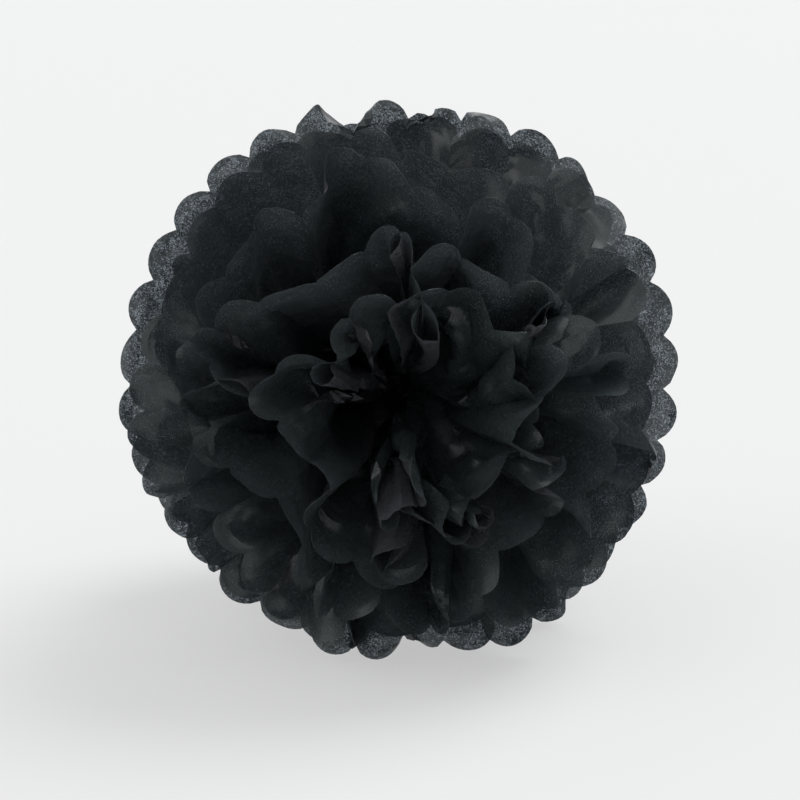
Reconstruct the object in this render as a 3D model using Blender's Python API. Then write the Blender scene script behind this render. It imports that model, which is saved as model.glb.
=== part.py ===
"""Tissue paper pom pom: ten pleated sheets tied at the middle and pulled apart into a ball.

The ball's axis is Y, its front is towards -Y, and it stands on Z = 0. A sheet is a 500 x 350 mm tissue,
pleated into 16 panels and fanned out on both sides of the tie. A column is the line that one place across
the pleats follows, from the tie out to the cut end. It keeps to a half-plane through the axis, apart from
closing the seams a little on its way out.
"""

import math
import random

import bmesh
import bpy
from mathutils import Vector

# The tissue, in metres
PANELS = 16
PANEL_WIDTH = 0.03125
REACH = 0.175  # half of the pleated strip's length
LOBE_RISE = 0.010  # how far a lobe's tip stands past the notches
LOBE_BLUNTNESS = 0.6  # 1 for a lobe that is a half sine wave, and less for a blunter one
PAPER = 0.0005  # thickness of a sheet's solid

# The tie
TIE_RADIUS = 0.008
TIE_PITCH = 0.0012  # from one sheet to the next
TIE_HEIGHT = 0.150  # above the surface it stands on
SEAM_AT_TIE = math.radians(8)  # from the seam's plane to a fan's edge, where the wire passes
SEAM_AT_RIM = math.radians(3.5)
SEAM_CLOSED = 0.080  # station where the seam is down to its angle at the rim
WIRE_RADIUS = 0.0005
WIRE_GAP = 0.0004  # to the tissue
WIRE_CORNER = 0.0015
STRAND_SPACING = 0.0008  # from the twist's middle to each strand's
TAIL_LENGTH = 0.018
TAIL_TURNS = 2.5
TAIL_PARTS = 36
CORNER_PARTS = 3

# How the sheets are pulled apart: the angle from the front of the axis, in degrees
SHEET_LEANS = (8, 25, 42, 60, 90, 117, 130, 143, 157, 174)
FRONT_SHEETS = 5
TURN_END = 0.036  # where a column has turned to its lean
PLEAT_START = 0.008
PLEAT_FULL = 0.055  # where a pleat has its whole depth
RUFFLE_START = 0.060
RUFFLE_DEPTH = 0.55  # share by which the space between two sheets changes
RUFFLE_LENGTHS = ((2.3, 3.4), (3.6, 5.2))  # shortest and longest waves, in panels
HEART_WAVE = math.radians(5)
FRONT_FLARE = math.radians(26)  # how far the petals round the heart lean out again at their tips
BACK_FLARE = math.radians(10)
HEART_RISE = 0.10  # slope by which the front of the axis points up
RISE_START = 0.010  # how far in front of the tie's middle that slope starts
FLOOR_CALM = 0.35  # share of the ruffles left where the sheets stand on the floor
FLOOR_ZONE = (0.7, 0.9)  # how steeply down a column points where the calm starts and is complete

ROWS = (TIE_RADIUS, 0.020, 0.038, 0.066, 0.102)  # stations with a column at each fold
MIDDLE_ROW = 0.156  # station with a column at each fold and each panel's middle
LOBE_PARTS = 4
STEP = 0.001  # of a column's path

TISSUE_BLACK = (0.012, 0.013, 0.013, 1.0)
WIRE_GREEN = (0.03, 0.05, 0.03, 1.0)


def smooth(value, start, end):
    """0 before start, 1 after end, and an even curve between them."""
    share = min(max((value - start) / (end - start), 0.0), 1.0)
    return share * share * (3 - 2 * share)


def make_waves(source):
    """For each side of the tie and each sheet, a long and a short wave: length, turn and share."""
    waves = []
    for _ in range(2 * len(SHEET_LEANS)):
        short, long = RUFFLE_LENGTHS
        waves.append(
            (
                (source.uniform(*short), source.uniform(0, math.tau), 0.45),
                (source.uniform(*long), source.uniform(0, math.tau), 0.55),
            )
        )
    return waves


WAVES = make_waves(random.Random(14))


def wave(side, sheet, place):
    """The ruffle of a sheet at a place across the pleats, from -1 to 1."""
    parts = WAVES[side * len(SHEET_LEANS) + sheet]
    return sum(share * math.sin(math.tau * place / length + turn) for length, turn, share in parts)


def seam_half_angle(station):
    return SEAM_AT_TIE + (SEAM_AT_RIM - SEAM_AT_TIE) * smooth(station, TIE_RADIUS, SEAM_CLOSED)


def azimuth(side, place, station):
    """The angle round the axis, from +X towards +Z, of a place across the pleats."""
    seam = seam_half_angle(station)
    from_bottom = seam + (math.pi - 2 * seam) * place / PANELS
    if side:
        return 1.5 * math.pi - from_bottom
    return from_bottom - 0.5 * math.pi


def near_floor(side, place):
    """1 for a column that points straight down, 0 for one well away from the floor."""
    return smooth(-math.sin(azimuth(side, place, REACH)), *FLOOR_ZONE)


def target_lean(sheet, side, place, share):
    """A column's lean past its turn. share is how much of the ruffles has come in."""
    front = sheet < FRONT_SHEETS
    group = range(FRONT_SHEETS) if front else range(FRONT_SHEETS, len(SHEET_LEANS))
    calm = 1 - (1 - FLOOR_CALM) * near_floor(side, place)
    depth = RUFFLE_DEPTH * share * calm
    spaces = [
        (SHEET_LEANS[index + 1] - SHEET_LEANS[index]) * (1 + depth * wave(side, index, place))
        for index in group[:-1]
    ]
    whole = SHEET_LEANS[group[-1]] - SHEET_LEANS[group[0]]
    before = sum(spaces[: sheet - group[0]]) / sum(spaces) * whole
    lean = math.radians(SHEET_LEANS[group[0]] + before)
    heart = 1 - before / whole if front else before / whole
    flare = FRONT_FLARE if front else -BACK_FLARE
    return lean + share * heart * (flare * heart + HEART_WAVE * wave(side, group[-1], place))


def pleat_depth(radius, station):
    """How far a fold stands from the sheet's middle surface, so that each panel keeps its width."""
    pitch = radius * (math.pi - 2 * seam_half_angle(station)) / PANELS
    half = 0.5 * math.sqrt(max(PANEL_WIDTH**2 - pitch**2, 0.0))
    return half * smooth(station, PLEAT_START, PLEAT_FULL)


def fold_side(place):
    """-1 at one fold, 1 at the next, and straight panels between them."""
    return 1 - 2 * abs((place % 2) - 1)


def column(sheet, side, place, stations):
    """A point of the middle surface and the offset to the back face, at each of the stations."""
    radius = station = TIE_RADIUS
    along = (sheet - (len(SHEET_LEANS) - 1) / 2) * TIE_PITCH
    lean = math.pi / 2
    found = []
    for wanted in stations:
        while station < wanted - 1e-9:
            step = min(STEP, wanted - station)
            share = smooth(station + step / 2, RUFFLE_START, REACH)
            turned = smooth(station + step / 2, 0, TURN_END)
            lean = math.pi / 2 + (target_lean(sheet, side, place, share) - math.pi / 2) * turned
            radius += math.sin(lean) * step
            along -= math.cos(lean) * step
            station += step
        angle = azimuth(side, place, wanted)
        outward = Vector((math.cos(angle), 0, math.sin(angle)))
        normal = outward * math.cos(lean) + Vector((0, math.sin(lean), 0))
        rise = HEART_RISE * max(-along - RISE_START, 0.0)
        middle = outward * radius + Vector((0, along, TIE_HEIGHT + rise))
        depth = pleat_depth(radius, wanted) * fold_side(place)
        found.append(lay_on_floor(sheet, middle + normal * depth, normal * PAPER / 2))
    return found


def lay_on_floor(sheet, point, offset):
    """Bends what would reach below the floor, so that it lies flat on it, away from the middle."""
    if point.z - abs(offset.z) >= PAPER:
        return point, offset
    front = sheet < FRONT_SHEETS
    below = PAPER - point.z
    slide = -below if front else below
    flat = Vector((point.x, point.y + slide, PAPER / 2))
    return flat, Vector((0, 0, -PAPER / 2 if front else PAPER / 2))


def lobe_end(place):
    """How far out the scalloped edge is."""
    return REACH - LOBE_RISE * (1 - abs(math.sin(math.pi * place)) ** LOBE_BLUNTNESS)


def fan_rows(sheet, side):
    """The fan's points in rows, from the tie out, with 1, 2 and 4 columns for each panel."""
    rows = [[None] * (PANELS + 1) for _ in ROWS]
    middle = [None] * (2 * PANELS + 1)
    rim = [None] * (LOBE_PARTS * PANELS + 1)
    for index in range(LOBE_PARTS * PANELS + 1):
        place = index / LOBE_PARTS
        stations = [*ROWS, MIDDLE_ROW, lobe_end(place)]
        points = column(sheet, side, place, stations)
        rim[index] = points[-1]
        if index % 2 == 0:
            middle[index // 2] = points[-2]
        if index % LOBE_PARTS == 0:
            for row, point in zip(rows, points):
                row[index // LOBE_PARTS] = point
    return [*rows, middle, rim]


def add_row(mesh, row):
    """A row's vertices: one on the front face and one on the back face for each point."""
    return [(mesh.verts.new(point - offset), mesh.verts.new(point + offset)) for point, offset in row]


def add_face(mesh, corners, flip):
    mesh.faces.new(reversed(corners) if flip else corners)


def join_rows(mesh, inner, outer, flip):
    """Faces on both sides of the paper between two rows. The outer one has as many or twice as many."""
    ratio = (len(outer) - 1) // (len(inner) - 1)
    for index in range(len(inner) - 1):
        near, far = inner[index : index + 2], outer[index * ratio : (index + 1) * ratio + 1]
        split = len(far) // 2
        for face in (0, 1):
            turned = flip != bool(face)
            for number in range(ratio):
                corner = near[0] if number < split else near[1]
                add_face(mesh, (far[number + 1][face], far[number][face], corner[face]), turned)
            add_face(mesh, (near[0][face], near[1][face], far[split][face]), turned)


def join_edge(mesh, line, flip):
    """The narrow wall along an edge of the paper."""
    for start, end in zip(line, line[1:]):
        add_face(mesh, (start[0], end[0], end[1], start[1]), flip)


def sheet_mesh(sheet):
    mesh = bmesh.new()
    hub = []
    for side in (0, 1):
        rows = [add_row(mesh, row) for row in fan_rows(sheet, side)]
        flip = bool(side)
        for inner, outer in zip(rows, rows[1:]):
            join_rows(mesh, inner, outer, flip)
        join_edge(mesh, rows[-1], flip)
        join_edge(mesh, [row[0] for row in rows], not flip)
        join_edge(mesh, [row[-1] for row in rows], flip)
        hub.append(rows[0])
    join_edge(mesh, [hub[1][0], hub[0][0]], False)
    join_edge(mesh, [hub[0][-1], hub[1][-1]], False)
    for face in (0, 1):
        ring = [pair[face] for pair in hub[0]] + [pair[face] for pair in reversed(hub[1])]
        add_face(mesh, ring, bool(face))
    bmesh.ops.recalc_face_normals(mesh, faces=mesh.faces)
    bmesh.ops.triangulate(mesh, faces=mesh.faces)
    return mesh


def wire_path():
    """Twisted tail, once round the tied stack through the seams, and back along the other strand."""
    stack = TIE_PITCH * (len(SHEET_LEANS) - 1) / 2 + PAPER / 2 + WIRE_RADIUS + WIRE_GAP
    reach = TIE_RADIUS + WIRE_RADIUS + WIRE_GAP
    first, second = [], []
    for index in range(TAIL_PARTS + 1):
        turn = math.tau * TAIL_TURNS * index / TAIL_PARTS
        along = -stack - WIRE_CORNER - TAIL_LENGTH * (1 - index / TAIL_PARTS)
        across = STRAND_SPACING * Vector((math.cos(turn), 0, math.sin(turn)))
        middle = Vector((0, along, 0))
        first.append(middle + across)
        second.append(middle - across)
    loop = rounded_loop(stack, reach, first[-1].x, second[-1].x)
    centre = Vector((0, 0, TIE_HEIGHT))
    return [point + centre for point in [*first, *loop, *reversed(second)]]


def rounded_loop(stack, reach, start_x, end_x):
    """From the front up over the stack, down its back and up again, from one strand to the other."""
    centres = ((-stack, reach), (stack, reach), (stack, -reach), (-stack, -reach))
    outline = [(-stack, WIRE_CORNER)]
    for index, (along, height) in enumerate(centres):
        middle = along - math.copysign(WIRE_CORNER, along), height - math.copysign(WIRE_CORNER, height)
        for part in range(CORNER_PARTS + 1):
            turn = math.pi - (index + part / CORNER_PARTS) * math.pi / 2
            outline.append(
                (middle[0] + WIRE_CORNER * math.cos(turn), middle[1] + WIRE_CORNER * math.sin(turn))
            )
    outline.append((-stack, -WIRE_CORNER))
    last = len(outline) - 1
    return [
        Vector((start_x + (end_x - start_x) * index / last, along, height))
        for index, (along, height) in enumerate(outline)
    ]


def give_material(thing, name, colour, roughness):
    material = bpy.data.materials.new(name)
    material.use_nodes = True
    shader = material.node_tree.nodes["Principled BSDF"]
    shader.inputs["Base Color"].default_value = colour
    shader.inputs["Roughness"].default_value = roughness
    material.diffuse_color = colour
    thing.data.materials.append(material)


def make_sheet(sheet):
    name = f"tissue_sheet_{sheet + 1:02d}"
    mesh = sheet_mesh(sheet)
    data = bpy.data.meshes.new(name)
    mesh.to_mesh(data)
    mesh.free()
    thing = bpy.data.objects.new(name, data)
    bpy.context.collection.objects.link(thing)
    give_material(thing, f"{name}_tissue", TISSUE_BLACK, 0.6)


def make_wire():
    data = bpy.data.curves.new("binding_wire", "CURVE")
    data.dimensions = "3D"
    data.bevel_depth = WIRE_RADIUS
    data.bevel_resolution = 1
    data.use_fill_caps = True
    path = wire_path()
    spline = data.splines.new("POLY")
    spline.points.add(len(path) - 1)
    for knot, point in zip(spline.points, path):
        knot.co = (*point, 1)
    thing = bpy.data.objects.new("binding_wire", data)
    bpy.context.collection.objects.link(thing)
    give_material(thing, "florist_wire", WIRE_GREEN, 0.4)


def main():
    for old in list(bpy.data.objects):
        bpy.data.objects.remove(old)
    for sheet in range(len(SHEET_LEANS)):
        make_sheet(sheet)
    make_wire()


main()
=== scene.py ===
import math

import bmesh
import bpy
import numpy as np
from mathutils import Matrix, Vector


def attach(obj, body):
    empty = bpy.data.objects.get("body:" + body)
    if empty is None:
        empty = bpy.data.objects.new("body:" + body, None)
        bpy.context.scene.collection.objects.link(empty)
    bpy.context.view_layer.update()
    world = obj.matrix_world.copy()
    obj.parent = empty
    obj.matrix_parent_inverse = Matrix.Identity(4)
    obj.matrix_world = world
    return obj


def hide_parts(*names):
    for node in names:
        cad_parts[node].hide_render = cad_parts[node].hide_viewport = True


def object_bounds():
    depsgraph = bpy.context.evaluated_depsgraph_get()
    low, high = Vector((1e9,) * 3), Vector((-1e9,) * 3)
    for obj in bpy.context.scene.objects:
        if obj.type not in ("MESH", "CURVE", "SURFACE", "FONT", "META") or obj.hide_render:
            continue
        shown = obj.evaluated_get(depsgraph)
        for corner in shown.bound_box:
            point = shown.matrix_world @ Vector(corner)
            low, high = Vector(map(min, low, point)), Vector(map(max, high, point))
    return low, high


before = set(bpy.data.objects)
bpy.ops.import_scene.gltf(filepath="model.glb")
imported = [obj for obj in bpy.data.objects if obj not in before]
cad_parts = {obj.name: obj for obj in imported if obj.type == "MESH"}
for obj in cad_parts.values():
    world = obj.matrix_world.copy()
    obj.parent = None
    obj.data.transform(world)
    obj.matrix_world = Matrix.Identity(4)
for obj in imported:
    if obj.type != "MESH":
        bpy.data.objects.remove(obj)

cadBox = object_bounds()
print("frame loaded", cadBox)


def linear(code):
    values = [int(code[k:k + 2], 16) / 255 for k in (0, 2, 4)]
    return [v / 12.92 if v <= 0.04045 else ((v + 0.055) / 1.055) ** 2.4 for v in values] + [1.0]


def deselectAll():
    for thing in bpy.context.selected_objects:
        thing.select_set(False)


def addNode(tree, kind, links=None, **settings):
    node = tree.nodes.new(kind)
    for name, value in settings.items():
        setattr(node, name, value)
    for name, value in (links or {}).items():
        socket = node.inputs[name]
        if isinstance(value, bpy.types.NodeSocket):
            tree.links.new(value, socket)
        else:
            socket.default_value = value
    return node


def smoothStep(value, start, end):
    share = np.clip((value - start) / (end - start), 0, 1)
    return share * share * (3 - 2 * share)


# lengths are in metres, a place across the pleats in panels, and each span says how far out from the tie
# something starts and is whole
paper = {
    "panels": 16,
    "panelWidth": 0.03125,
    "reach": 0.175,          # half of the pleated strip
    "lobeRise": 0.010,       # how far the middle of a lobe stands out past its corners
    "lobeBluntness": 0.6,
    "tieRadius": 0.008,
    "tiePitch": 0.0012,
    "tieHeight": 0.150,
    "leastRadius": 0.0015,
    "leans": (8, 25, 42, 60, 90, 117, 130, 143, 157, 174),   # degrees from the front of the axis
    "leanSpan": (0.03, 0.12),
    "turnEnd": 0.036,        # every sheet leaves the tie at right angles, and has its own lean from here on
    "twists": (8, -7, -20, 22, 11, -5, 5, -6, 7, -8),   # degrees round the axis, to part the seams
    "twistSpan": (0.02, 0.12),
    "frontFlare": 26,        # how far the petals round the heart lean out again at their tips, in degrees
    "backFlare": 10,
    "flareStart": 0.06,
    "seamAtTie": 8,          # half the gap between the two fans of a sheet, in degrees
    "seamAtRim": -3,         # they overlap a little here
    "seamClosed": 0.080,
    "spacePull": 0.75,       # how unevenly the sheets are spread, and the wavelengths of that
    "spaceWaves": (2.6, 6.0),
    "leastSpace": 0.06,      # radians
    "heartPull": 9,          # degrees
    "rimPull": 4.5,
    "pullWaves": (3.0, 6.0),
    "backNear": (13, 50, 45),   # the sheet behind the rim leans in by this, round here, this far each way
    "floorCalm": 40,         # degrees from straight down where the sheets that carry the ball lie even
    "flarePull": 0.9,
    "flareWaves": (2.0, 5.0),
    "petalWidths": ((2.6, 4.4), (2.4, 4.2), (2.2, 4.0), (2.0, 3.8), (2.0, 3.6)),   # panels, heart to rim
    "firstPetal": (0.3, 2.5),
    "petalShares": (0.6, 0.5, 0.45, 0.4, 0.3),
    "foldShares": (0.9, 1.0, 1.0, 1.0, 0.9),
    "keptFolds": (0.25, 1.4),   # some folds are nearly pressed out, others are still sharp
    "openSpan": (0.045, 0.120),
    "steepest": 2.3,         # radians
    "panelFlatness": 0.85,
    "liftSpan": (0.006, 0.050),
    "heartRise": 0.10,       # the front of the axis points up by this slope
    "riseStart": 0.010,
    "riseSines": (-1, -0.2),   # the petals that hang lowest stay down
    "columnsPerPanel": 5,
    "rows": 38,
    "coarseRounds": (400, 60),
    "fineRounds": (60, 20),
    "stiffness": (0.05, 0.02),   # coarse and fine
    "diagonalStrength": 0.7,
    "guide": 0.002,          # how much of the way back to its start each round pulls the tissue
    "freeSpan": (0.016, 0.040),
    "firstCrumple": (0.022, 0.0050),   # size and height
    "fineCrumple": (0.016, 0.0020),
    "lastCrumples": ((0.015, 0.0011), (0.006, 0.00035)),
    "crumplePatch": 0.05,    # crumples are strong in some patches of this size, and weak in others
    "patchSpan": (-0.5, 0.9),   # noise in a weak patch and in a strong one
    "leastCrumple": 0.25,
    "latticeTurns": (0.3, 1.2),   # radians, so that crumples don't run along the pleats
    "latticeStart": 0.2,     # further than the tissue reaches, which keeps every place on the lattice
    "creaseDepth": 0.0022,   # what is left of the pleats where a sheet lies open
    "creaseShares": (0.3, 1.5),
    "creaseSpan": (0.02, 0.06),
    "tipCurl": 0.013,
    "tipStart": 0.125,
    "tipBluntness": 0.7,
    "thickness": 0.00012,
    "smoothAngle": 25,       # degrees
    "floorGap": 0.0006,
}
sheetCount = len(paper["leans"])
source = np.random.default_rng(7)


def flatPlaces(columnsPerPanel, rows):
    # where each point of a half sheet lies on the flat tissue: across the pleats, and out from the tie
    columns = paper["panels"] * columnsPerPanel + 1
    place = np.arange(columns) / columnsPerPanel
    end = paper["reach"] - paper["lobeRise"] * (1 - np.abs(np.sin(np.pi * place)) ** paper["lobeBluntness"])
    share = np.linspace(0, 1, rows)
    out = paper["tieRadius"] + (end[:, None] - paper["tieRadius"]) * share[None, :]
    return place, out


def drift(place, size, shortest, longest, waves=2):
    # an uneven wave across the pleats, from about -size to size
    total = np.zeros_like(place)
    for _ in range(waves):
        total += np.sin(2 * np.pi * place / source.uniform(shortest, longest) + source.uniform(0, 6.28))
    return size * total / waves


def petalPhase(place, shortest, longest):
    # each petal takes a few panels, and one turn of the wave
    edges = [-source.uniform(*paper["firstPetal"])]
    while edges[-1] < paper["panels"] + 2:
        edges.append(edges[-1] + source.uniform(shortest, longest))
    return np.interp(place, edges, 2 * np.pi * np.arange(len(edges)))


def pulledLeans(place):
    # how far each half sheet leans at each place: the space between two sheets opens here and closes there
    leans = np.radians(paper["leans"])
    count = sheetCount // 2
    found = np.zeros((2 * sheetCount, len(place)))
    for side in (0, 1):
        for group in (range(count), range(2 * count - 1, count - 1, -1)):
            heart = min(leans[group[0]], math.pi - leans[group[0]])
            rim = min(leans[group[-1]], math.pi - leans[group[-1]])
            spaces = []
            for k in range(count - 1):
                uneven = 1 + drift(place, paper["spacePull"], *paper["spaceWaves"])
                spaces.append(abs(leans[group[k + 1]] - leans[group[k]]) * uneven)
            spaces = np.maximum(spaces, paper["leastSpace"])
            first = heart + drift(place, math.radians(paper["heartPull"]), *paper["pullWaves"])
            last = rim + drift(place, math.radians(paper["rimPull"]), *paper["pullWaves"])
            before = np.cumsum(spaces, axis=0) / np.sum(spaces, axis=0) * (last - first)
            for k, sheet in enumerate(group):
                lean = first + (before[k - 1] if k else 0)
                found[2 * sheet + side] = lean if group[0] == 0 else math.pi - lean
    size, centre, spread = paper["backNear"]
    azimuth = place / paper["panels"] * 180 - 90
    found[2 * count] -= np.radians(size) * np.exp(-((azimuth - centre) / spread) ** 2)
    even = np.exp(-((azimuth + 90) / paper["floorCalm"]) ** 2)
    for half in range(2 * count - 4, 2 * count + 2):
        found[half] += (leans[half // 2] - found[half]) * even
    return found


def flares(place):
    # how far each half sheet leans out again at its tips: most round the heart, and uneven
    leans = paper["leans"]
    count = sheetCount // 2
    found = np.zeros((2 * sheetCount, len(place)))
    for half in range(2 * sheetCount):
        sheet = half // 2
        near = leans[sheet] if sheet < count else 180 - leans[sheet]
        rim = leans[count - 1] if sheet < count else 180 - leans[count]
        heart = min(leans[0], 180 - leans[-1])
        share = max((rim - near) / (rim - heart), 0) ** 2
        size = paper["frontFlare"] if sheet < count else -paper["backFlare"]
        uneven = 1 + drift(place, paper["flarePull"], *paper["flareWaves"])
        found[half] = math.radians(size) * share * uneven
    return found


def leanAlong(half, place, out, pulled, flare):
    lean0 = math.radians(paper["leans"][half // 2])
    lean = lean0 + (pulled[half][:, None] - lean0) * smoothStep(out, *paper["leanSpan"])
    lean = lean + flare[half][:, None] * smoothStep(out, paper["flareStart"], paper["reach"])
    return math.pi / 2 + (lean - math.pi / 2) * smoothStep(out, 0, paper["turnEnd"])


def headings(middle, station, depth):
    # which way each part of a sheet runs, against its circle: pleats near the tie, and further out
    # petals that take a few panels
    zigzag = np.where(np.floor(middle) % 2 == 0, 1.0, -1.0)
    panel = np.floor(middle).astype(int)
    kept = source.uniform(*paper["keptFolds"], paper["panels"])[panel]
    flatPanels = middle + paper["panelFlatness"] * (panel + 0.5 - middle)
    petals = np.cos(petalPhase(flatPanels, *paper["petalWidths"][depth]))
    rimHeading = paper["petalShares"][depth] * petals + paper["foldShares"][depth] * kept * zigzag
    opened = smoothStep(station, *paper["openSpan"])
    return opened[None, :] * rimHeading[:, None] + (1 - opened)[None, :] * zigzag[:, None]


def startShape(place, out):
    # every half sheet pulled apart, with its pleats opened into petals: (half, column, row, xyz)
    halves, columns, rows = 2 * sheetCount, len(place), out.shape[1]
    shape = np.zeros((halves, columns, rows, 3))
    step = np.diff(out, axis=1)
    width = paper["panelWidth"] * np.diff(place)[:, None]
    middle = 0.5 * (place[1:] + place[:-1])
    station = out.mean(axis=0)
    seam = paper["seamAtTie"] + (paper["seamAtRim"] - paper["seamAtTie"]) * smoothStep(
        station, paper["tieRadius"], paper["seamClosed"])
    room = math.pi - 2 * np.radians(seam)
    pulled, flare = pulledLeans(place), flares(place)
    nothing = np.zeros((columns, 1))
    halvings = 30
    for half in range(halves):
        sheet, side = divmod(half, 2)
        lean = leanAlong(half, place, out, pulled, flare)
        between = 0.5 * (lean[:, 1:] + lean[:, :-1])
        outwards = np.cumsum(np.sin(between) * step, axis=1)
        forwards = np.cumsum(np.cos(between) * step, axis=1)
        radius = paper["tieRadius"] + np.concatenate([nothing, outwards], axis=1)
        level = (sheet - (sheetCount - 1) / 2) * paper["tiePitch"]
        along = level - np.concatenate([nothing, forwards], axis=1)
        wave = headings(middle, station, min(sheet, sheetCount - 1 - sheet))
        arm = 0.5 * (radius[1:] + radius[:-1])
        low, high = np.zeros(rows), np.full(rows, paper["steepest"])
        for _ in range(halvings):
            size = 0.5 * (low + high)
            tooWide = (np.cos(size * wave) * width / arm).sum(axis=0) > room
            low, high = np.where(tooWide, size, low), np.where(tooWide, high, size)
        turns = np.cumsum(np.cos(low * wave) * width / arm, axis=0)
        rises = np.cumsum(np.sin(low * wave) * width, axis=0)
        angle = np.concatenate([np.zeros((1, rows)), turns], axis=0)
        angle -= 0.5 * angle[-1:]
        lift = np.concatenate([np.zeros((1, rows)), rises], axis=0)
        lift -= lift.mean(axis=0, keepdims=True)
        lift *= smoothStep(station, *paper["liftSpan"])[None, :]
        if side:
            angle = math.pi - angle
        twist = math.radians(paper["twists"][sheet])
        angle = angle + twist * smoothStep(station, *paper["twistSpan"])[None, :]
        ring = np.maximum(radius + lift * np.cos(lean), paper["leastRadius"])
        y = along + lift * np.sin(lean)
        raised = smoothStep(np.sin(angle), *paper["riseSines"])
        rise = paper["heartRise"] * raised * np.maximum(-y - paper["riseStart"], 0)
        shape[half, :, :, 0] = ring * np.cos(angle)
        shape[half, :, :, 1] = y
        shape[half, :, :, 2] = ring * np.sin(angle) + paper["tieHeight"] + rise
    return shape


def pairs(count, offset, start):
    # the two ends of pairs that are offset apart, from start on, where no point is in two of them
    last = int(np.arange(start, count - offset, 2 * offset)[-1])
    return slice(start, last + 1, 2 * offset), slice(start + offset, last + offset + 1, 2 * offset)


def flatGrid(place, out):
    return np.stack([np.broadcast_to(place[:, None] * paper["panelWidth"], out.shape), out], axis=-1)


def onFold(place):
    return np.abs(place - np.round(place)) < 1e-6


def constraintSets(flat, folds, stiff):
    # the tissue doesn't stretch: threads along, across and both ways on the diagonal keep their flat length.
    # Threads to the point after next stand for its stiffness, and are left out across a fold.
    columns, rows = flat.shape[:2]
    every = slice(None)
    diagonal = paper["diagonalStrength"]
    sets = []
    for start in (0, 1):
        a, b = pairs(columns, 1, start)
        sets.append(((every, a, every), (every, b, every), 1.0))
        sets.append(((every, a, slice(0, -1)), (every, b, slice(1, None)), diagonal))
        sets.append(((every, a, slice(1, None)), (every, b, slice(0, -1)), diagonal))
        a, b = pairs(rows, 1, start)
        sets.append(((every, every, a), (every, every, b), 1.0))
    for start in range(4):
        a, b = pairs(columns, 2, start)
        between = folds[1:-1][start::4][:len(range(*a.indices(columns)))]
        kept = np.where(between, 0.0, stiff)
        sets.append(((every, a, every), (every, b, every), kept[:, None]))
        a, b = pairs(rows, 2, start)
        sets.append(((every, every, a), (every, every, b), stiff))
    found = []
    for a, b, stiffness in sets:
        rest = np.linalg.norm(flat[b[1:]] - flat[a[1:]], axis=-1).astype(np.float32)
        strength = np.broadcast_to(0.5 * stiffness, rest.shape).astype(np.float32)
        found.append((a, b, rest[None], strength[None]))
    return found


def relaxPaper(shape, place, out, rounds, guide, stiff):
    # pulls every thread back to its flat length, over and over, while the tie holds the pleats
    shape = shape.astype(np.float32)
    flat = flatGrid(place, out)
    aim = shape.copy()
    free = smoothStep(flat[0, :, 1], *paper["freeSpan"]).astype(np.float32)[None, None, :, None]
    sets = constraintSets(flat, onFold(place), stiff)
    for _ in range(rounds):
        before = shape.copy()
        for a, b, rest, strength in sets:
            delta = shape[b] - shape[a]
            length = np.sqrt((delta * delta).sum(axis=-1)) + 1e-9
            move = (strength * (1 - rest / length))[..., None] * delta
            shape[a] += move
            shape[b] -= move
        shape += np.float32(guide) * (aim - shape)
        shape[..., 2] = np.maximum(shape[..., 2], paper["floorGap"])
        shape = before + free * (shape - before)
    return shape


def refine(shape):
    # twice as many points both ways
    wide = np.zeros((shape.shape[0], 2 * shape.shape[1] - 1, shape.shape[2], 3), shape.dtype)
    wide[:, ::2] = shape
    wide[:, 1::2] = 0.5 * (shape[:, 1:] + shape[:, :-1])
    long = np.zeros((shape.shape[0], wide.shape[1], 2 * shape.shape[2] - 1, 3), shape.dtype)
    long[:, :, ::2] = wide
    long[:, :, 1::2] = 0.5 * (wide[:, :, 1:] + wide[:, :, :-1])
    return long


def normals(shape):
    across = np.gradient(shape, axis=1)
    along = np.gradient(shape, axis=2)
    found = np.cross(along, across)
    return found / (np.linalg.norm(found, axis=-1, keepdims=True) + 1e-12)


def latticeNoise(halves, place, out, size):
    # smooth random heights on the flat tissue, size metres between its peaks
    turn = source.uniform(*paper["latticeTurns"])
    x = place[:, None] * paper["panelWidth"]
    u = (x * math.cos(turn) - out * math.sin(turn)) / size + paper["latticeStart"] / size + 2
    v = (x * math.sin(turn) + out * math.cos(turn)) / size + 2
    values = source.standard_normal((halves, int(u.max()) + 2, int(v.max()) + 2))
    iu, iv = u.astype(int), v.astype(int)
    fu, fv = smoothStep(u - iu, 0, 1), smoothStep(v - iv, 0, 1)
    low = values[:, iu, iv] * (1 - fu) + values[:, iu + 1, iv] * fu
    high = values[:, iu, iv + 1] * (1 - fu) + values[:, iu + 1, iv + 1] * fu
    return low * (1 - fv) + high * fv


def crumple(halves, place, out, size, height):
    # sharp creases where the handled tissue has buckled, strong here and nearly gone there
    where = smoothStep(latticeNoise(halves, place, out, paper["crumplePatch"]), *paper["patchSpan"])
    return height * np.abs(latticeNoise(halves, place, out, size)) * (paper["leastCrumple"] + where)


def pleatCreases(halves, place, out):
    # up at one fold and down at the next, flat between them, and stronger at some folds than at others
    size = source.uniform(*paper["creaseShares"], (halves, paper["panels"] + 1))
    folds = size * (-1.0) ** np.arange(paper["panels"] + 1)
    panel = np.minimum(place.astype(int), paper["panels"] - 1)
    share = place - panel
    height = folds[:, panel] * (1 - share) + folds[:, panel + 1] * share
    return paper["creaseDepth"] * height[:, :, None] * smoothStep(out, *paper["creaseSpan"])[None]


def curlTips(shape, place, out):
    # each lobe's end curls forwards or back by its own amount
    amount = source.normal(0, paper["tipCurl"], (shape.shape[0], paper["panels"] + 1))
    frac = place - np.floor(place)
    own = amount[:, np.floor(place).astype(int)] * np.sin(np.pi * frac)[None] ** paper["tipBluntness"]
    reach = ((out - paper["tipStart"]) / (paper["reach"] - paper["tipStart"])).clip(0, 1) ** 2
    return shape + normals(shape) * (own[:, :, None] * reach[None])[..., None]


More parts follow.
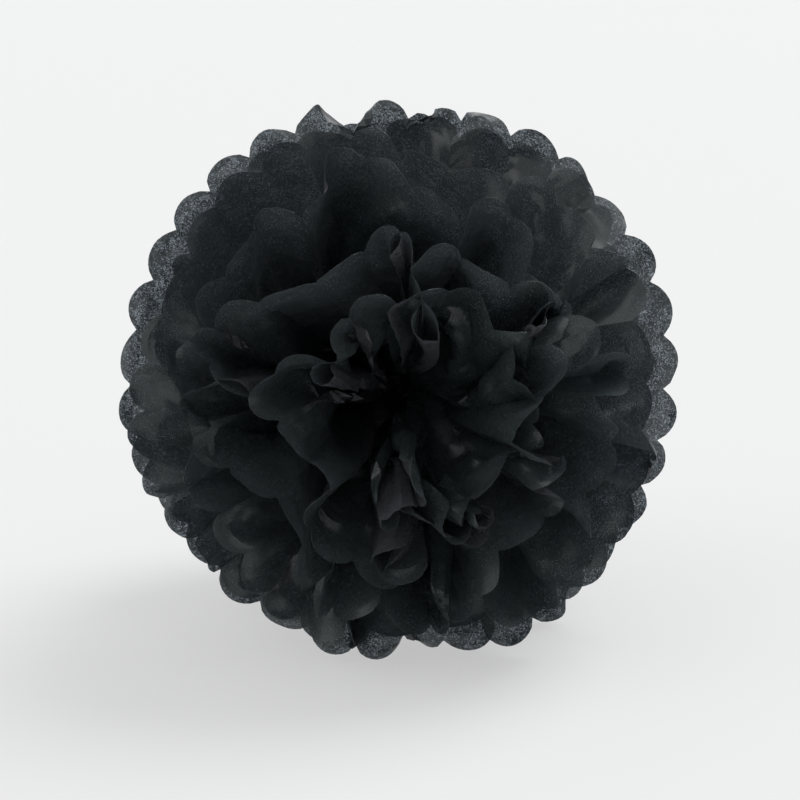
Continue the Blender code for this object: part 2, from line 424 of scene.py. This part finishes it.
def raiseBy(shape, heights):
    return shape + normals(shape) * heights[..., None]


def makeSheets():
    # every half sheet at once, on a coarse grid and then on one twice as fine
    quick = int(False)
    stiffCoarse, stiffFine = paper["stiffness"]
    place, out = flatPlaces(paper["columnsPerPanel"], paper["rows"])
    shape = curlTips(startShape(place, out), place, out)
    halves = len(shape)
    shape = raiseBy(shape, crumple(halves, place, out, *paper["firstCrumple"]))
    shape = relaxPaper(shape, place, out, paper["coarseRounds"][quick], paper["guide"], stiffCoarse)
    print("coarse tissue relaxed")
    place, out = flatPlaces(2 * paper["columnsPerPanel"], 2 * paper["rows"] - 1)
    shape = refine(shape)
    shape = raiseBy(shape, crumple(halves, place, out, *paper["fineCrumple"]))
    shape = relaxPaper(shape, place, out, paper["fineRounds"][quick], 0.0, stiffFine)
    bumps = sum(crumple(halves, place, out, *kind) for kind in paper["lastCrumples"])
    shape = raiseBy(shape, bumps + pleatCreases(halves, place, out))
    shape[..., 2] = np.maximum(shape[..., 2], paper["floorGap"])
    print("fine tissue relaxed and creased")
    return place, out, shape


def sheetMesh(name, place, out, left, right):
    # one sheet from its two halves, joined at the tie. Its UV map is where each point lies on the flat tissue
    points = np.concatenate([left[:, ::-1], right], axis=1)
    across = np.broadcast_to(place[:, None] * paper["panelWidth"], out.shape)
    flatAcross = np.concatenate([across[:, ::-1], across], axis=1)
    flatAlong = np.concatenate([paper["reach"] - out[:, ::-1], paper["reach"] + out], axis=1)
    columns, rows = points.shape[:2]
    index = np.arange(columns * rows).reshape(columns, rows)
    corners = [index[:-1, :-1], index[:-1, 1:], index[1:, 1:], index[1:, :-1]]
    faces = np.stack(corners, axis=-1).reshape(-1, 4)
    mesh = bpy.data.meshes.new(name)
    mesh.vertices.add(columns * rows)
    mesh.vertices.foreach_set("co", points.reshape(-1).astype(np.float32))
    mesh.loops.add(faces.size)
    mesh.loops.foreach_set("vertex_index", faces.reshape(-1).astype(np.int32))
    mesh.polygons.add(len(faces))
    mesh.polygons.foreach_set("loop_start", np.arange(0, faces.size, 4, dtype=np.int32))
    mesh.update(calc_edges=True)
    uv = mesh.uv_layers.new(name="flatTissue")
    flat = np.stack([flatAcross, flatAlong], axis=-1).reshape(-1, 2) / tissue["wide"]
    uv.data.foreach_set("uv", flat[faces.reshape(-1)].reshape(-1).astype(np.float32))
    # the folds stay crisp
    ends = np.zeros(2 * len(mesh.edges), np.int32)
    mesh.edges.foreach_get("vertices", ends)
    ends = ends.reshape(-1, 2)
    column = ends // rows
    sharp = (column[:, 0] == column[:, 1]) & onFold(place)[column[:, 0]]
    mesh.attributes.new("sharp_edge", "BOOLEAN", "EDGE").data.foreach_set("value", sharp)
    mesh.validate()
    thing = bpy.data.objects.new(name, mesh)
    bpy.context.collection.objects.link(thing)
    return thing


def thicken(thing):
    deselectAll()
    thing.select_set(True)
    bpy.context.view_layer.objects.active = thing
    wall = thing.modifiers.new("thickness", "SOLIDIFY")
    wall.thickness = paper["thickness"]
    wall.offset = 0
    wall.material_offset = 1
    bpy.ops.object.modifier_apply(modifier=wall.name)
    bpy.ops.object.shade_smooth_by_angle(angle=math.radians(paper["smoothAngle"]), keep_sharp_edges=True)


tissue = {
    "wide": 0.5,              # metres of flat tissue across the UV map
    "fibre": 0.0014,          # clumps of fibre, drawn coarser than real so that they show
    "cloud": 0.012,           # thicker and thinner patches of the sheet
    "cloudShare": 0.25,
    "clearFrom": 0.54,        # how sparse the fibres are where light starts to pass, and where most passes
    "clearTo": 0.80,
    "leastClear": 0.06,       # share of each side that light passes straight through, between the fibres
    "mostClear": 0.50,
    "glow": 0.05,             # share of the rest that light soaks through
    "passedColour": "f0f7fd",
    "glazedColour": "2b3233",
    "roughColour": "333337",
    "leastShade": 0.92,
    "mostShade": 1.1,
    "glazedRoughness": 0.31,
    "roughRoughness": 0.43,
    "fibreHeight": 0.0001,
}


def tissueFinish(name, colour, roughness):
    # machine-glazed black tissue: near black, with a soft sheen, and so thin that one layer lets light
    # through between its fibres as fine bluish specks
    material = bpy.data.materials.new(name)
    material.use_nodes = True
    tree = material.node_tree
    tree.nodes.clear()
    passed = linear(tissue["passedColour"])
    place = addNode(tree, "ShaderNodeUVMap", uv_map="flatTissue").outputs["UV"]
    fibre = addNode(tree, "ShaderNodeTexNoise", {
        "Vector": place, "Scale": tissue["wide"] / tissue["fibre"], "Detail": 3.0, "Roughness": 0.7,
        "Distortion": 1.5})
    cloud = addNode(tree, "ShaderNodeTexNoise", {
        "Vector": place, "Scale": tissue["wide"] / tissue["cloud"], "Detail": 2.0})
    mixed = addNode(tree, "ShaderNodeMath", {
        0: cloud.outputs["Fac"], 1: tissue["cloudShare"], 2: fibre.outputs["Fac"]}, operation="MULTIPLY_ADD")
    holes = addNode(tree, "ShaderNodeMapRange", {
        "Value": mixed.outputs[0], "From Min": tissue["clearFrom"], "From Max": tissue["clearTo"],
        "To Min": tissue["leastClear"], "To Max": tissue["mostClear"]}, interpolation_type="SMOOTHSTEP")
    shade = addNode(tree, "ShaderNodeMapRange", {
        "Value": fibre.outputs["Fac"], "From Min": 0.3, "From Max": 0.7, "To Min": tissue["leastShade"],
        "To Max": tissue["mostShade"]})
    tint = addNode(tree, "ShaderNodeMix", {
        "Factor": 1.0, 6: linear(colour), 7: shade.outputs[0]}, data_type="RGBA", blend_type="MULTIPLY")
    bump = addNode(tree, "ShaderNodeBump", {
        "Height": fibre.outputs["Fac"], "Strength": 0.12, "Distance": tissue["fibreHeight"]})
    body = addNode(tree, "ShaderNodeBsdfPrincipled", {
        "Base Color": tint.outputs[2], "Roughness": roughness, "IOR": 1.5, "Normal": bump.outputs[0]})
    soaked = addNode(tree, "ShaderNodeBsdfTranslucent", {"Color": passed})
    clear = addNode(tree, "ShaderNodeBsdfTransparent", {"Color": passed})
    paperBody = addNode(tree, "ShaderNodeMixShader", {
        0: tissue["glow"], 1: body.outputs[0], 2: soaked.outputs[0]})
    both = addNode(tree, "ShaderNodeMixShader", {
        0: holes.outputs[0], 1: paperBody.outputs[0], 2: clear.outputs[0]})
    addNode(tree, "ShaderNodeOutputMaterial", {"Surface": both.outputs[0]})
    return material


frontFinish = tissueFinish("blackTissueGlazedSide", tissue["glazedColour"], tissue["glazedRoughness"])
backFinish = tissueFinish("blackTissueRoughSide", tissue["roughColour"], tissue["roughRoughness"])

place, out, shape = makeSheets()
for sheet in range(sheetCount):
    piece = sheetMesh(f"tissuePiece{sheet + 1:02d}", place, out, shape[2 * sheet + 1], shape[2 * sheet])
    piece.data.materials.append(frontFinish)
    piece.data.materials.append(backFinish)
    thicken(piece)
    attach(piece, "root")
    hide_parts(f"tissue_sheet_{sheet + 1:02d}")
print("ten sheets made")


enamel = {
    "darkColour": "1c3322",
    "paleColour": "2f4a35",
    "spots": 900.0,          # to the metre, about a millimetre each
    "leastRoughness": 0.3,
    "mostRoughness": 0.55,
}


def wireFinish():
    # florist's wire: thin green enamel over steel, satin, with faint wear in its gloss
    material = bpy.data.materials.new("greenEnamelledSteel")
    material.use_nodes = True
    tree = material.node_tree
    shader = tree.nodes["Principled BSDF"]
    place = addNode(tree, "ShaderNodeTexCoord").outputs["Object"]
    wear = addNode(tree, "ShaderNodeTexNoise", {"Vector": place, "Scale": enamel["spots"], "Detail": 2.0})
    colour = addNode(tree, "ShaderNodeMix", {
        "Factor": wear.outputs["Fac"], 6: linear(enamel["darkColour"]), 7: linear(enamel["paleColour"])},
        data_type="RGBA")
    gloss = addNode(tree, "ShaderNodeMapRange", {
        "Value": wear.outputs["Fac"], "To Min": enamel["leastRoughness"], "To Max": enamel["mostRoughness"]})
    tree.links.new(colour.outputs[2], shader.inputs["Base Color"])
    tree.links.new(gloss.outputs[0], shader.inputs["Roughness"])
    return material


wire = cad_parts.get("binding_wire")
if wire:
    wireCoat = wireFinish()
    for materialSlot in wire.material_slots:
        materialSlot.material = wireCoat
print("wire enamelled")


studio = {
    "distance": 1.152,
    "elevation": 12.3,
    "lens": 85,
    "aimBelow": 0.023,       # the camera aims this far under the middle of the ball
    "skyTop": 0.72,          # brightness of the tent overhead, and at eye level in front
    "skyFront": 0.27,
    "skyBack": 0.45,         # how much the back of the tent counts as higher
    "skySpan": (-0.3, 0.75),
    "keyFrom": (0.75, 0.45, 1.25),   # seen from the ball
    "keySpread": 36,         # degrees across
    "keyStrength": 2.3,
    "windowFrom": (-1.0, -0.5, 0.9),
    "windowSpread": 50,
    "windowStrength": 0.55,
    "floorColour": "8e8f8f",
    "floorGlow": 0.50,       # a lit table, which keeps shadows pale
    "floorFront": 3.0,
    "floorRun": 150.0,       # far enough back for its end to stay out of sight
    "floorTurn": 3.0,
    "floorTop": 4.0,
    "floorSide": 45.0,
}


def selectEdges(mesh, wanted):
    # selects the edges of the mesh being edited whose middle is where it is wanted
    bpy.ops.mesh.select_all(action="DESELECT")
    shape = bmesh.from_edit_mesh(mesh)
    for edge in shape.edges:
        if wanted((edge.verts[0].co + edge.verts[1].co) / 2):
            edge.select_set(True)
    bmesh.update_edit_mesh(mesh)


def makeSweep():
    # white paper that curves up behind: a sheet with its back edge pulled up, and the fold rounded
    back, close = studio["floorRun"] + studio["floorTurn"], 0.01
    deselectAll()
    bpy.ops.mesh.primitive_plane_add(size=1)
    floor = bpy.context.object
    floor.name = "paperSweep"
    bpy.ops.object.mode_set(mode="EDIT")
    bpy.ops.transform.resize(value=(2 * studio["floorSide"], studio["floorFront"] + back, 1))
    bpy.ops.transform.translate(value=(0, (back - studio["floorFront"]) / 2, 0))
    bpy.ops.mesh.select_mode(type="EDGE")
    selectEdges(floor.data, lambda middle: middle.y > back - close)
    bpy.ops.mesh.extrude_region_move(TRANSFORM_OT_translate={"value": (0, 0, studio["floorTop"])})
    selectEdges(floor.data, lambda middle: middle.y > back - close and middle.z < close)
    bpy.ops.mesh.bevel(offset=studio["floorTurn"], segments=16, affect="EDGES")
    bpy.ops.object.mode_set(mode="OBJECT")
    bpy.ops.object.shade_smooth()
    material = bpy.data.materials.new("mattWhitePaper")
    material.use_nodes = True
    shader = material.node_tree.nodes["Principled BSDF"]
    shader.inputs["Base Color"].default_value = linear(studio["floorColour"])
    shader.inputs["Emission Color"].default_value = linear("ffffff")
    shader.inputs["Emission Strength"].default_value = studio["floorGlow"]
    shader.inputs["Roughness"].default_value = 0.9
    shader.inputs["Specular IOR Level"].default_value = 0.1
    floor.data.materials.append(material)


def makeTent():
    # soft light from overhead, and little from where the camera stands
    world = bpy.data.worlds.new("tent")
    world.use_nodes = True
    tree = world.node_tree
    tree.nodes.clear()
    way = addNode(tree, "ShaderNodeTexCoord").outputs["Generated"]
    parts = addNode(tree, "ShaderNodeSeparateXYZ", {"Vector": way})
    tall = addNode(tree, "ShaderNodeMath", {
        0: parts.outputs["Y"], 1: studio["skyBack"], 2: parts.outputs["Z"]}, operation="MULTIPLY_ADD")
    lowest, highest = studio["skySpan"]
    level = addNode(tree, "ShaderNodeMapRange", {
        "Value": tall.outputs[0], "From Min": lowest, "From Max": highest, "To Min": studio["skyFront"],
        "To Max": studio["skyTop"]}, interpolation_type="SMOOTHSTEP")
    glow = addNode(tree, "ShaderNodeBackground", {"Color": linear("ffffff"), "Strength": level.outputs[0]})
    addNode(tree, "ShaderNodeOutputWorld", {"Surface": glow.outputs[0]})
    bpy.context.scene.world = world


def makeLamp(name):
    # broad and far off: the key over the right shoulder of the ball, and a weak window from the left
    light = bpy.data.lights.new(name, "SUN")
    light.angle = math.radians(studio[name + "Spread"])
    light.energy = studio[name + "Strength"]
    lamp = bpy.data.objects.new(name, light)
    bpy.context.collection.objects.link(lamp)
    lamp.location = studio[name + "From"]
    lamp.rotation_euler = Vector(studio[name + "From"]).to_track_quat("Z", "Y").to_euler()


def makeCamera():
    camera = bpy.data.objects.new("camera", bpy.data.cameras.new("camera"))
    bpy.context.collection.objects.link(camera)
    tilt = math.radians(studio["elevation"])
    low, high = cadBox
    aim = [(low[k] + high[k]) / 2 for k in range(3)]
    aim[2] -= studio["aimBelow"]
    camera.location = (aim[0], aim[1] - studio["distance"] * math.cos(tilt),
                       aim[2] + studio["distance"] * math.sin(tilt))
    camera.rotation_euler = (math.pi / 2 - tilt, 0, 0)
    camera.data.lens = studio["lens"]
    bpy.context.scene.camera = camera


makeSweep()
makeTent()
makeLamp("key")
makeLamp("window")
makeCamera()
bpy.context.scene.view_settings.view_transform = "Standard"
print("studio ready")
